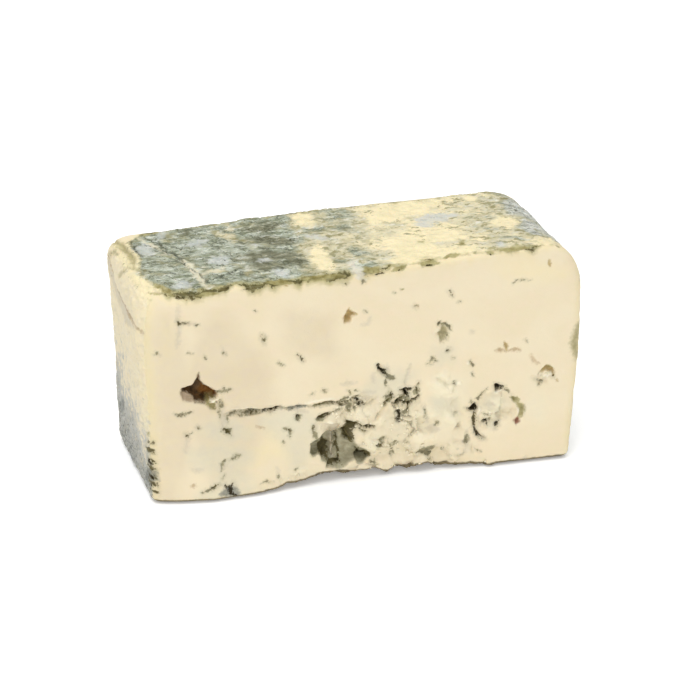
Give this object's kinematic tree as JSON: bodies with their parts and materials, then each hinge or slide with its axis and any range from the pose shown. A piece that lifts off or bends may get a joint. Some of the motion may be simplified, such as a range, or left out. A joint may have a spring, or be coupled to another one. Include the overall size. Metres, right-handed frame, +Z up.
{
  "type": "blue-veined cheese slab",
  "caption": "Thick slab of blue-veined cheese with a mouldy rind on top and at the ends, a creamy cut face with holes and cracks, and a flat underside to rest on.",
  "frame": {"origin": "on the underside, under the middle of the slab's box", "axes": "+X along the slab's length, -Y out of the cut face with the holes, +Z up"},
  "size_m": [0.1982, 0.0668, 0.1063],
  "materials": {
    "cheese": "moist, waxy cut curd in cream, with grey-green mould in its cracks and a grey-green mouldy rind"
  },
  "bodies": {
    "root": {"cheese_block": "cheese"}
  },
  "joints": []
}
